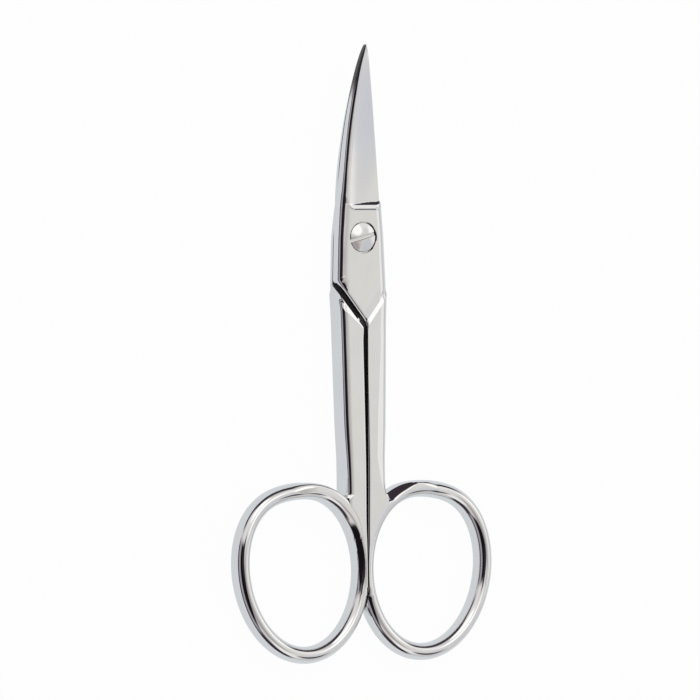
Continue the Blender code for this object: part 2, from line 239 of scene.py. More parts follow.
def half_gap(y):
    """Half the gap between the shanks, which narrows from the V to the rings, ever slower."""
    share = held((-V_BOTTOM - y) / (TAIL_END - V_BOTTOM))
    return blend(SHANK_GAP, RING_GAP, 1.0 - (1.0 - share) ** GAP_CLOSING) / 2.0


V_SLOPE = (BOX_HALF_WIDTH + SHANK_GAP / 2.0) / (V_BOTTOM - V_TOP)
V_STRETCH = math.hypot(1.0, V_SLOPE)


def v_line(y):
    """X of the box's slanted lower edge."""
    return -BOX_HALF_WIDTH + (-V_TOP - y) * V_SLOPE


def past_mirror(x, y):
    """Distance past the V's mirror image, square to it: the other half's V lies under that."""
    return (x + v_line(y)) / V_STRETCH


def spine_bulge(y):
    """How far the spine's wall stands out beyond the half width: less and less up the blade."""
    return WALL_BULGE * ease(1.0, 0.0, (y - SPINE_BULGE_START) / SPINE_BULGE_RUN)


def side_bulge(y, ledge_run=LEDGE_RUN):
    """The same for the outer side's wall, which is plain on the blade and beside the ring."""
    early = BACK_LEDGE_EARLY * (ledge_run > LEDGE_RUN)
    return WALL_BULGE * ease(1.0, 0.0, (y - LEDGE_REACH + early) / ledge_run) \
        * ease(1.0, 0.0, (SIDE_BULGE_END - y) / SIDE_BULGE_RUN)


def side_facet(y):
    """How far in from the half width the facet along the outer side starts: straight runs."""
    places = [-38.2, -37.4, -36.5, -35.3, -33.2, -31.0, -23.7, -15.0, -9.0, -5.0, 0.0]
    starts = [0.08, 0.35, 0.70, 1.10, 1.60, 2.10, 1.70, 1.25, 1.20, 1.25, 1.18]
    return np.interp(y, places, starts)


def left_line(y):
    """Spine, V and inner side of the shank, averaged over a short run to round its corners."""
    shifts = np.linspace(-1.0, 1.0, 9) * CORNER_SOFTNESS
    places = np.asarray(y)[..., None] + shifts
    beside = np.where(places >= -V_BOTTOM, v_line(places), half_gap(places))
    line = np.maximum(-half_width(places) - spine_bulge(places), beside)
    return np.where(np.asarray(y) > 0.0, -half_width(y) - spine_bulge(y), line.mean(axis=-1))


def ring_line(angle):
    """Centre line of the ring's wire: an ellipse made fuller at one end, then tilted."""
    across = RING_HALF_WIDTH * np.cos(angle) * (1.0 + RING_EGG * np.sin(angle))
    along = RING_HALF_LENGTH * np.sin(angle) + RING_DROOP * np.cos(2.0 * angle)
    tilt = math.radians(RING_TILT_DEGREES)
    x = RING_X + across * math.cos(tilt) - along * math.sin(tilt)
    y = -RING_Y + across * math.sin(tilt) + along * math.cos(tilt)
    return x, y


def ring_side(y):
    """X of the ring's centre line at y, on the side beside the gap."""
    x, along = ring_line(np.radians(np.linspace(95.0, 250.0, 300)))
    return np.interp(-y, -along, x)


def ring_outward(angle):
    """Unit vector in plan, square to the ring's centre line and away from its hole."""
    step = math.radians(0.25)
    ahead, behind = ring_line(angle + step), ring_line(angle - step)
    across, along = ahead[0] - behind[0], ahead[1] - behind[1]
    length = np.hypot(across, along)
    return along / length, -across / length


def notch_place():
    """Y where the shank's outer side meets the outer side of the ring, and the ring's lean."""
    angle = np.radians(np.linspace(130.0, 175.0, 400))
    x, y = ring_line(angle)
    out_x, out_y = ring_outward(angle)
    x, y = x + out_x * WIRE_FLAT_HALF_WIDTH, y + out_y * WIRE_FLAT_HALF_WIDTH
    nearest = np.argmin(np.abs(x - half_width(y)))
    slope = np.gradient(y, x)[nearest]
    return float(y[nearest]), float(math.atan(slope))


NOTCH_Y, NOTCH_SLOPE = notch_place()
NOTCH_CENTRE_Y = NOTCH_Y + NOTCH_ROUND * (1.0 / math.cos(NOTCH_SLOPE) + math.tan(NOTCH_SLOPE))


def right_line(y, ledge_run=LEDGE_RUN):
    """Cutting edge and outer side, a quarter circle into the ring, then inside the wire."""
    width = half_width(y) + side_bulge(y, ledge_run)
    drop = np.clip(NOTCH_CENTRE_Y - y, 0.0, NOTCH_ROUND)
    fillet = NOTCH_ROUND - np.sqrt(NOTCH_ROUND ** 2 - drop ** 2)
    inside = np.minimum(width + fillet, ring_side(y))
    return np.where(y > NOTCH_CENTRE_Y - NOTCH_ROUND, width + fillet, inside)


def shank_height(y):
    """Height of the shank's flats, thinning softly to the ring."""
    share = (-SHANK_FLAT_END - y) / (TAIL_END - SHANK_FLAT_END)
    return ease(SHANK_HEIGHT, TAIL_HEIGHT, share)


def ledge_rise(x):
    """How far the ledge line has turned up at x: a square law near each of its ends."""
    left = held((-LEDGE_HALF_WIDTH + SPINE_LAND + LEDGE_TURN - x) / LEDGE_TURN)
    right = held((x - LEDGE_HALF_WIDTH + LEDGE_TURN) / LEDGE_TURN)
    return LEDGE_LEFT_RISE * left ** 2 + LEDGE_RIGHT_RISE * right ** 2


def soft_less(a, b, softness):
    """The smaller of two, with the change between them rounded off over the softness."""
    return (a + b - np.sqrt((a - b) ** 2 + softness ** 2)) / 2.0


def soft_past(a, softness):
    """How far a is past zero, with the start rounded off over the softness."""
    return (a + np.sqrt(a ** 2 + softness ** 2)) / 2.0


def top_height(x, y, ledge_run):
    """Outer face: land, hollow ground face, ledge, box, ramp and shank's flat.

    The blade falls straight across from its land to its edge, less a square law's hollow. Past
    the ledge line, the box falls at one slope and then at a steeper one until it meets the
    blade, and a bell curve raises its lip. The ramp is a straight rise from box to shank.
    """
    share = held((y - LEDGE_REACH) / (BLADE_REACH - LEDGE_REACH))
    width = half_width(y)
    spine = blend(BOX_HEIGHT, SPINE_TIP_HEIGHT, share ** SPINE_THINNING)
    edge = blend(EDGE_ROOT_HEIGHT, EDGE_TIP_HEIGHT, share)
    land = np.minimum(SPINE_LAND, width / 2.0)
    across = held((x + width - land) / np.maximum(2.0 * width - land, land))
    hollow = HOLLOW_DEPTH * (1.0 - share) ** HOLLOW_FADE * 4.0 * across * (1.0 - across)
    ground = spine + (edge - spine) * across - hollow
    soft = LEDGE_RUN / ledge_run
    early = BACK_LEDGE_EARLY * (soft < 1.0)
    past = (y - LEDGE_REACH - ledge_rise(x) + early) * soft
    lip = soft * LEDGE_LIP * np.exp(-((past + LEDGE_LIP_PLACE) / LEDGE_LIP_WIDTH) ** 2) \
        * ease(0.0, 1.0, across * LEDGE_LIP_GROWTH)
    drop = LEDGE_LIP_FALL * soft_past(past, LEDGE_SOFTNESS) \
        + (LEDGE_WALL_FALL - LEDGE_LIP_FALL) * soft_past(past - LEDGE_LIP_RUN, LEDGE_WALL_SOFTNESS)
    face = BOX_HEIGHT - np.minimum(BOX_HEIGHT - ground, drop) + lip

    along_v = LOW_FACET_FOOT_X + V_SLOPE * (y - LOW_FACET_FOOT_Y)
    past_line = soft_past(x - soft_less(LOW_FACET_SIDE, along_v, LOW_FACET_CORNER),
                          LOW_FACET_SOFTNESS)
    face = face - math.tan(math.radians(LOW_FACET_DEGREES)) * past_line \
        * ease(1.0, 0.0, (y - LOW_FACET_FULL) / (LOW_FACET_START - LOW_FACET_FULL))
    ramp = held((past_mirror(x, y) - RAMP_START) / (V_GAP - RAMP_START))
    return face + (shank_height(y) - face) * ramp


def bottom_height(x, y):
    """Inner face: flat where the halves meet, then the shoulder's leaning wall and the back."""
    mating = MATING_GAP / 2.0
    beyond = (past_mirror(x, y) - V_GAP) * V_STRETCH
    foot = (SHOULDER_FOOT - V_GAP) * V_STRETCH
    outward = held((x / BOX_HALF_WIDTH - SHOULDER_NARROW) / (1.0 - SHOULDER_NARROW))
    fall = (shank_height(y) - SHOULDER_HEIGHT) * blend(SHOULDER_NARROW, 1.0, outward)
    rise = mating + shank_height(y) - fall
    wall = mating - rise * held((beyond - foot) / (SHOULDER_RUN - foot))
    chamfer = V_STRETCH * SHOULDER_CHAMFER * blend(SHOULDER_NARROW, 1.0, outward)
    return wall - fall * held((beyond - SHOULDER_RUN) / chamfer)


def meeting(line, distance):
    """Y where a side's line meets the row at that distance past the mirrored V, by halving."""
    low, high = np.full(np.shape(distance), -40.0), np.full(np.shape(distance), 4.0)
    for _ in range(50):
        middle = (low + high) / 2.0
        too_high = past_mirror(line(middle), middle) < distance
        high = np.where(too_high, middle, high)
        low = np.where(too_high, low, middle)
    return (low + high) / 2.0


def row_ends():
    """Y at the left and right end of each row of the skin, from the tip to the run-out.

    Rows lie straight across the blade and the shank. Between them they turn, so that beside
    the V they run along its ramp and its shoulder, whose edges fall exactly between rows.
    """
    near = 1.0 - 0.002 * np.linspace(1.0, 5.0, 10) ** 2
    tip = LEDGE_REACH + (BLADE_REACH - LEDGE_REACH) * near
    blade = np.linspace(tip[-1], LEDGE_REACH + 2.0, 64)[1:]
    ledge = LEDGE_REACH + np.concatenate([np.linspace(1.75, 1.0, 4), np.linspace(0.92, -0.5, 30),
                                          np.linspace(-0.6, -1.2, 4)])
    distance = np.concatenate([
        np.linspace(0.20, 0.44, 4), np.linspace(0.48, 0.56, 5), np.linspace(0.60, 0.97, 6),
        np.linspace(1.01, 1.05, 3), [1.075, 1.10], V_GAP + SHOULDER_RUN / V_STRETCH * np.ones(1),
        np.linspace(1.16, 2.30, 18)])
    slant_left, slant_right = meeting(left_line, distance), meeting(right_line, distance)
    corner = np.linspace(0.5, -0.8, 21) - V_TOP + WALL_BULGE / V_SLOPE
    box_left = np.concatenate([np.linspace(ledge[-1], corner[0], 15)[1:-1], corner,
                               np.linspace(corner[-1], slant_left[0], 15)[1:-1]])
    box_share = (ledge[-1] - box_left) / (ledge[-1] - slant_left[0])
    box_right = ledge[-1] + (slant_right[0] - ledge[-1]) * box_share
    down = np.linspace(0.0, 1.0, 16)[1:]
    shank_left = slant_left[-1] + (-SHANK_FLAT_END - slant_left[-1]) * down
    shank_right = slant_right[-1] + (-SHANK_FLAT_END - slant_right[-1]) * down
    foot = NOTCH_CENTRE_Y - NOTCH_ROUND * np.sin(np.linspace(0.0, math.pi / 2.0, 10))
    tail = np.concatenate([np.linspace(-SHANK_FLAT_END, foot[0], 14)[1:-1], foot,
                           np.linspace(foot[-1], -TAIL_END, 34)[1:]])
    straight = np.concatenate([tip, blade, ledge])
    left = np.concatenate([straight, box_left, slant_left, shank_left, tail])
    right = np.concatenate([straight, box_right, slant_right, shank_right, tail])
    return left, right


def body_skin(ledge_run):
    """Grid of points of blade, box and shank: one row per section, one column per place in it.

    A column is a share of the way along a row, or a set distance in from one of its ends:
    up the left wall, round the spine, across the face, down the facet and the right side, and
    back along the underside. A rounding is a part of a circle or an ellipse. Each of these
    forms also keeps to its share of the row's width, so that all fit where the blade narrows.
    """
    left_y, right_y = row_ends()
    left_x, right_x = left_line(left_y), right_line(right_y, ledge_run)
    width = right_x - left_x
    slant = (right_y - left_y) / width
    curl = ease(0.0, 1.0, (left_y - LEDGE_REACH + LEDGE_CURL_BEFORE) / LEDGE_CURL_RUN) \
        * ease(1.0, 0.0, (left_y - LEDGE_REACH - LEDGE_CURL_AFTER) / LEDGE_CURL_RUN)

    def along_row(x):
        """Y of each row at x: straight from end to end, and turned up with the ledge line."""
        return left_y[:, None] + slant[:, None] * (x - left_x[:, None]) \
            + curl[:, None] * ledge_rise(x)

    def run_in(line, y):
        """Run in x along the row for each length square to the side."""
        step = 0.01
        lean = (line(y + step) - line(y - step)) / (2.0 * step)
        return np.minimum(np.hypot(1.0, lean) / np.maximum(1.0 - slant * lean, 0.3), 2.0)

    left_run, right_run = run_in(left_line, left_y), run_in(right_line, right_y)
    on_blade = held((right_y - LEDGE_REACH) / ledge_run)
    on_shank = ease(0.0, 1.0, (-V_BOTTOM - GAP_ROUND_START - left_y) / GAP_ROUND_RUN)
    on_spine = ease(1.0, 0.0, (-V_TOP + SPINE_END - left_y) / SPINE_END_RUN)
    on_back = ease(0.0, 1.0, (past_mirror(right_x, right_y) - V_GAP) / BACK_START_RUN)
    beside_ring = held((SPINE_ROUND_START - left_y) / SPINE_ROUND_RUN)
    full_turn = math.radians(WALL_TURN_DEGREES)
    shares = np.linspace(0.0, 1.0, 9)

    inset = blend(BOX_INSET, BLADE_INSET, (left_y - BLADE_INSET_START) / BLADE_INSET_RUN)
    inset = np.minimum(inset, half_width(left_y) * 0.55)
    lowest = np.maximum(bottom_height(left_x, left_y), 0.0)
    spine_height = top_height(left_x, left_y, ledge_run) - lowest
    below = (-V_BOTTOM + GAP_INSET_START - left_y) / GAP_INSET_RUN
    spine = blend(V_INSET, inset + spine_bulge(left_y), on_spine) \
        * blend(1.0, GAP_INSET / V_INSET, below) / (1.0 - math.cos(full_turn))
    spine = np.minimum(blend(spine, SPINE_ROUND, beside_ring),
                       np.minimum(spine_height * 0.9, width * 0.42))
    turn = shares * blend(full_turn, math.pi / 2.0, beside_ring)[:, None]
    roll = on_spine * blend(1.0, ROLL_ON_BLADE, on_blade) * np.minimum(width / 6.0, ROLL_REACH)

    def roll_off(distance, reach):
        """Fall of a flat at that distance from its sharp edge: a square law over the reach."""
        near = held(1.0 - distance / np.maximum(reach, EDGE_BREAK)[:, None])
        return ROLL_DROP * (reach / ROLL_REACH)[:, None] * near ** 2

    x_spine = left_x[:, None] + (spine * left_run)[:, None] * (1.0 - np.cos(turn))
    z_spine = top_height(x_spine, along_row(x_spine), ledge_run) - roll_off(0.0, roll) \
        - spine[:, None] * (np.sin(turn[:, -1:]) - np.sin(turn))

    bulge = side_bulge(right_y, ledge_run)
    facet = blend(side_facet(right_y), EDGE_ROUND + SIDE_LEAST, on_blade)
    arc = np.minimum(blend(SIDE_ARC, EDGE_ROUND, on_blade), facet - SIDE_LEAST)
    drop = blend(SIDE_DROP + SIDE_DROP_BY_BULGE * bulge, EDGE_ROUND, on_blade)
    drop = np.minimum(drop, (arc + bulge) * 1.2)
    limit = np.minimum(width / 4.0 / (arc + bulge), 1.0)
    arc, drop = (arc + bulge) * limit, drop * limit
    facet = np.minimum((facet + bulge) * right_run, width * blend(0.6, 0.42, on_blade))
    arc_run = np.minimum(arc * right_run, facet - 0.01)
    lean = on_blade * np.minimum(EDGE_LEAN, width / 12.0)
    start = math.radians(SIDE_START_DEGREES) * (1.0 - on_blade)
    side_turn = start[:, None] + (math.pi / 2.0 - start)[:, None] * shares
    reach_in = (1.0 - np.sin(side_turn)) / (1.0 - np.sin(start))[:, None]
    fall = math.tan(math.radians(SIDE_FACET_DEGREES)) * (1.0 - on_blade) / right_run

    face_start, face_end = x_spine[:, -1], right_x - lean - facet
    land = np.minimum(left_x + spine_bulge(left_y) + SPINE_LAND,
                      face_start + (face_end - face_start) * 0.35)
    x_land = face_start[:, None] + (land - face_start)[:, None] * np.array([0.25, 0.5, 0.75, 0.95])
    part = np.linspace(0.0, 1.0, 27)
    part[0] = 0.008
    x_face = land[:, None] + (face_end - land)[:, None] * part
    x_flat = np.concatenate([x_land, x_face], axis=1)
    z_flat = top_height(x_flat, along_row(x_flat), ledge_run) \
        - roll_off(x_flat - face_start[:, None], roll)

    x_facet = face_end[:, None] + (facet - arc_run)[:, None] * np.array([0.33, 0.67])
    z_facet = top_height(x_facet, along_row(x_facet), ledge_run) \
        - fall[:, None] * (x_facet - face_end[:, None])
    x_side = (right_x - lean)[:, None] - arc_run[:, None] * reach_in
    z_side = top_height(x_side, along_row(x_side), ledge_run) \
        - (fall * (facet - arc_run))[:, None] \
        - drop[:, None] * (np.cos(start)[:, None] - np.cos(side_turn))

    plain = 1.0 - bulge / WALL_BULGE
    back = (SHANK_INSET + PLAIN_SHANK_INSET * plain + bulge) / (1.0 - math.cos(full_turn))
    back = np.minimum(blend(blend(MATING_ROUND, back, on_back), EDGE_ROUND, on_blade),
                      width / blend(3.0, 8.0, on_blade))
    back_turn = shares * blend(math.pi / 2.0, full_turn, on_back)[:, None]
    back_roll = on_back * np.minimum(width / 6.0, ROLL_REACH)
    x_back = right_x[:, None] - (back * right_run)[:, None] * (1.0 - np.cos(back_turn))
    z_back = bottom_height(x_back, along_row(x_back)) + roll_off(0.0, back_roll) \
        + back[:, None] * (np.sin(back_turn[:, -1:]) - np.sin(back_turn))

    gap_width = np.minimum(blend(EDGE_BREAK, GAP_ROUND_WIDTH, on_shank), width / 5.0)
    gap_height = np.minimum(blend(EDGE_BREAK, GAP_ROUND_HEIGHT, on_shank), width / 5.0)
    low_start, low_end = x_back[:, -1], left_x + gap_width * left_run
    x_low = low_start[:, None] + (low_end - low_start)[:, None] * np.linspace(0.0, 1.0, 30)[1:-1]
    z_low = bottom_height(x_low, along_row(x_low)) \
        + roll_off(low_start[:, None] - x_low, back_roll)

    quarter = shares * math.pi / 2.0
    x_gap = left_x[:, None] + (gap_width * left_run)[:, None] * (1.0 - np.cos(quarter[::-1]))
    z_gap = bottom_height(x_gap, along_row(x_gap)) \
        + gap_height[:, None] * (1.0 - np.sin(quarter[::-1]))

    def wall(x_from, z_from, x_to, z_to):
        """Three places, evenly spread, on the straight wall between two roundings."""
        part = np.array([0.25, 0.5, 0.75])
        return (x_from[:, None] + (x_to - x_from)[:, None] * part,
                z_from[:, None] + (z_to - z_from)[:, None] * part)

    right_wall = wall(x_side[:, -1], z_side[:, -1], x_back[:, 0], z_back[:, 0])
    left_wall = wall(x_gap[:, -1], z_gap[:, -1], x_spine[:, 0], z_spine[:, 0])
    x = np.concatenate([x_spine, x_flat, x_facet, x_side, right_wall[0], x_back, x_low, x_gap,
                        left_wall[0]], axis=1)
    z = np.concatenate([z_spine, z_flat, z_facet, z_side, right_wall[1], z_back, z_low, z_gap,
                        left_wall[1]], axis=1)
    return np.stack([x, along_row(x), z], axis=-1)


RING_SECTIONS = 220
WIRE_POINTS = 56
WIRE_TRIAL_POINTS = 900


def evenly(outline, count):
    """Closed outline resampled so that its length and its turning are shared out evenly."""
    step = np.roll(outline, -1, axis=0) - outline
    length = np.linalg.norm(step, axis=1)
    heading = np.unwrap(np.arctan2(step[:, 1], step[:, 0]))
    turning = np.abs(np.diff(np.concatenate([[heading[-1] - 2.0 * math.pi], heading])))
    cost = length / length.sum() + turning / turning.sum()
    place = np.concatenate([[0.0], np.cumsum(cost)])
    target = np.linspace(0.0, place[-1], count + 1)[:-1]
    closed = np.vstack([outline, outline[:1]])
    return np.stack([np.interp(target, place, closed[:, k]) for k in range(outline.shape[1])], 1)


def ring_skin():
    """Grid of points of the finger ring: one closed outline of its wire for each angle.

    The outline is a superellipse, oval where the wire is free, and squarer and as high as
    the shank where they run together. Straight slopes bevel it in two places. Where the closed
    rings meet, it is cut off at the gap with a rounded edge.
    """
    angle = np.linspace(0.0, 2.0 * math.pi, RING_SECTIONS, endpoint=False)[:, None]
    turn = np.linspace(0.0, 2.0 * math.pi, WIRE_TRIAL_POINTS, endpoint=False)[None, :]
    centre_x, centre_y = ring_line(angle)
    out_x, out_y = ring_outward(angle)
    near = np.cos(angle - math.radians(WIRE_FLAT_DEGREES)) - WIRE_FLAT_START
    flat = ease(0.0, 1.0, near / (WIRE_FLAT_FULL - WIRE_FLAT_START))
    width = blend(WIRE_HALF_WIDTH, WIRE_FLAT_HALF_WIDTH, flat)
    squareness = np.where(np.cos(turn) > 0.0, WIRE_SQUARENESS, HOLE_SQUARENESS)
    power = 2.0 / (2.0 + squareness * flat)
    across = width * np.sign(np.cos(turn)) * np.abs(np.cos(turn)) ** power
    facing = np.maximum(-out_x, 0.05)
    to_gap = centre_x - half_gap(centre_y) - 2.0 * WIRE_CLEAR
    limit = np.where(out_x < -0.05, to_gap / facing, NO_LIMIT)
    across = np.minimum(across, limit)
    x, y = centre_x + across * out_x, centre_y + across * out_y
    depth = blend(WIRE_HALF_DEPTH, shank_height(y) - WIRE_CLEAR, flat)
    height = depth * np.sign(np.sin(turn)) * np.abs(np.sin(turn)) ** power
    near = np.cos(angle - math.radians(BEVEL_DEGREES)) - BEVEL_START
    bevel = ease(0.0, 1.0, near / (BEVEL_FULL - BEVEL_START))
    bevelled = -depth + BEVEL_SLOPE * soft_past(-across - BEVEL_PLACE, BEVEL_SOFTNESS)
    on_hole_side = (across < 0.1) & (height < 0.0)
    height = np.maximum(height, height + (bevelled - height) * bevel * on_hole_side)
    bevel = NOTCH_BEVEL_WIDTH * np.interp(np.degrees(angle), NOTCH_BEVEL_DEGREES, NOTCH_BEVEL_SHARES)
    beyond = soft_past(across - WIRE_FLAT_HALF_WIDTH + bevel, NOTCH_BEVEL_SOFTNESS)
    slope = np.interp(np.degrees(angle), NOTCH_BEVEL_TURN, NOTCH_BEVEL_SLOPES)
    height = np.minimum(height, depth - slope * beyond + WIRE_CLEAR)
    corner = np.maximum(SPINE_ROUND - (limit - across) * facing, 0.0)
    highest = depth - SPINE_ROUND + np.sqrt(SPINE_ROUND ** 2 - corner ** 2)
    height = np.clip(height, -highest, highest)
    section = np.stack(np.broadcast_arrays(across, height, x, y), axis=-1)
    return np.stack([evenly(outline, WIRE_POINTS) for outline in section])[..., [2, 3, 1]]


def grid_mesh(name, points, closed_rows):
    """Mesh of quads over a grid whose columns close on themselves, in metres.

    Rows either close on themselves as well or end in a flat cap.
    """
    rows, columns = points.shape[:2]
    index = np.arange(rows * columns).reshape(rows, columns)
    here, after = index, np.roll(index, -1, axis=0)
    if not closed_rows:
        here, after = here[:-1], after[:-1]
    quads = np.stack([here, np.roll(here, -1, axis=1), np.roll(after, -1, axis=1), after], -1)
    faces = quads.reshape(-1, 4).tolist()
    if not closed_rows:
        faces += [index[0][::-1].tolist(), index[-1].tolist()]
    mesh = bpy.data.meshes.new(name)
    mesh.from_pydata((points.reshape(-1, 3) * MM).tolist(), [], faces)
    mesh.update()
    return mesh


def placed(points, side):
    """Points of a half in the scissors: the back half is turned about the long axis.

    Both blades curve up by the square of the way past the bend's start over twice its radius.
    """
    turned = points * np.array([side, 1.0, side])
    rise = np.maximum(points[..., 1] - BEND_START, 0.0) ** 2 / (2.0 * BEND_RADIUS)
    turned[..., 2] += rise
    return turned + PIVOT_PLACE


def add_piece(name, mesh):
    """Object at the origin, with its place in its mesh."""
    piece = bpy.data.objects.new(name, mesh)
    bpy.context.scene.collection.objects.link(piece)
    return piece


def turned_mesh(name, profile, steps):
    """Closed mesh of a profile of radius and height, carried round +Z, with its ends on it."""
    turn = np.linspace(0.0, 2.0 * math.pi, steps, endpoint=False)
    radius, height = np.array(profile[1:-1]).T[:, :, None]
    count = len(radius)
    rings = np.stack([radius * np.cos(turn), radius * np.sin(turn),
                      np.broadcast_to(height, (count, steps))], axis=-1)
    ends = [[0.0, 0.0, profile[0][1]], [0.0, 0.0, profile[-1][1]]]
    points = np.vstack([rings.reshape(-1, 3), ends])
    index = np.arange(count * steps).reshape(count, steps)
    here, after = index[:-1], index[1:]
    quads = np.stack([here, after, np.roll(after, -1, axis=1), np.roll(here, -1, axis=1)], -1)
    first, last = count * steps, count * steps + 1
    start = np.stack([np.full(steps, first), index[0], np.roll(index[0], -1)], -1)
    end = np.stack([np.full(steps, last), np.roll(index[-1], -1), index[-1]], -1)
    mesh = bpy.data.meshes.new(name)
    faces = quads.reshape(-1, 4).tolist() + start.tolist() + end.tolist()
    mesh.from_pydata(((points + PIVOT_PLACE) * MM).tolist(), [], faces)
    mesh.update()
    return mesh


def facing_out(mesh):
    """Turns a closed mesh's faces to point outwards."""
    corners = np.empty(len(mesh.vertices) * 3)
    mesh.vertices.foreach_get("co", corners)
    mesh.calc_loop_triangles()
    triangles = np.empty(len(mesh.loop_triangles) * 3, dtype=np.int32)
    mesh.loop_triangles.foreach_get("vertices", triangles)
    a, b, c = np.moveaxis(corners.reshape(-1, 3)[triangles.reshape(-1, 3)], 1, 0)
    if np.einsum("ij,ij->i", a, np.cross(b, c)).sum() < 0.0:
        mesh.flip_normals()
    return mesh


def combine(piece, other, operation):
    """Joins or cuts with the exact solver and keeps only the result."""
    tool = add_piece(other.name, other)
    modifier = piece.modifiers.new("cut", "BOOLEAN")
    modifier.operation = operation
    modifier.object = tool
    modifier.solver = "EXACT"
    with bpy.context.temp_override(object=piece, active_object=piece):
        bpy.ops.object.modifier_apply(modifier=modifier.name)
    bpy.data.objects.remove(tool, do_unlink=True)


def store_painted_shade(piece, side):
    """Stores how far, from 0 to 1, each point of a half gets painted shade: a darker steel colour,
    also rougher, as if left ground and unpolished.

    The painted shade lies on the inner faces, which are the mating flat, the walls of V, shoulder
    and gap, where shade falls between the halves, and on the spine's narrow wall near the tip.
    """
    mesh = piece.data
    points, normals = np.empty(len(mesh.vertices) * 3), np.empty(len(mesh.vertices) * 3)
    mesh.vertices.foreach_get("co", points)
    mesh.vertex_normals.foreach_get("vector", normals)
    points = points.reshape(-1, 3) / MM - PIVOT_PLACE
    x, y = points[:, 0] * side, points[:, 1]
    z = side * (points[:, 2] - np.maximum(y - BEND_START, 0.0) ** 2 / (2.0 * BEND_RADIUS))
    down = -side * normals.reshape(-1, 3)[:, 2]
    flat = (z < MATING_GAP + TOUCHING) & (down > 0.6) & (past_mirror(x, y) < V_GAP)
    beside_gap = (np.abs(x - left_line(y)) < TOUCHING) & (y < -V_TOP + SPINE_END)
    between_rings = (y < -V_BOTTOM) & (x < half_gap(y) + 1.5 * TOUCHING)
    shoulder = (np.abs(past_mirror(x, y) - V_GAP - 2.0 * TOUCHING) < 3.0 * TOUCHING) & (z < 0.0) \
        & (x < half_width(y) + side_bulge(y) - MATING_ROUND)
    beside_v = (beside_gap & (y > -V_BOTTOM)) | shoulder
    # Painted shade: darker steel in the V, at the shoulder, in the gap and on the mating flat
    painted_shade_and_ground_finish = np.where(beside_gap | between_rings, GAP_PAINTED_SHADE, MATING_PAINTED_SHADE * flat)
    painted_shade_and_ground_finish = np.where(beside_v, 1.0, painted_shade_and_ground_finish)
    spine = (normals.reshape(-1, 3)[:, 0] * side < -0.6) & (x < 0.5)
    at_tip = ease(0.0, TIP_PAINTED_SHADE, (y - TIP_SHADE_START) / TIP_SHADE_RUN)
    painted_shade_and_ground_finish = np.maximum(painted_shade_and_ground_finish, spine * at_tip)
    ground = mesh.attributes.new("painted_shade_and_ground_finish", "FLOAT", "POINT")
    ground.data.foreach_set("value", painted_shade_and_ground_finish)


def srgb(code):
    """Linear colour of an sRGB hex value."""
    channels = np.array([int(code[k:k + 2], 16) for k in (1, 3, 5)]) / 255.0
    linear = np.where(channels <= 0.04045, channels / 12.92, ((channels + 0.055) / 1.055) ** 2.4)
    return (*linear.tolist(), 1.0)


def add_node(tree, kind, settings=(), values=(), links=()):
    """Adds a node with its settings, its sockets' values and the links into it.

    A Mix node's share is its socket 0. It mixes colours from 6 and 7 to its output 2, and
    plain values from 2 and 3 to its output 0.
    """
    node = tree.nodes.new(kind)
    for name, value in dict(settings).items():
        setattr(node, name, value)
    for socket, value in dict(values).items():
        node.inputs[socket].default_value = value
    for socket, source in dict(links).items():
        tree.links.new(source, node.inputs[socket])
    return node


GRAIN_SPACING = 0.25
GRAIN_DEPTH = 0.0015
GRAIN_STRETCH = 0.06             # the lines are this much narrower than long
WAVE_LENGTH = 4.0
WAVE_DEPTH = 0.030
# Dark steel colour for the painted shade between the halves and near the tip
PAINTED_SHADE_STEEL = "#454345"
GROUND_ROUGHNESS = 0.36


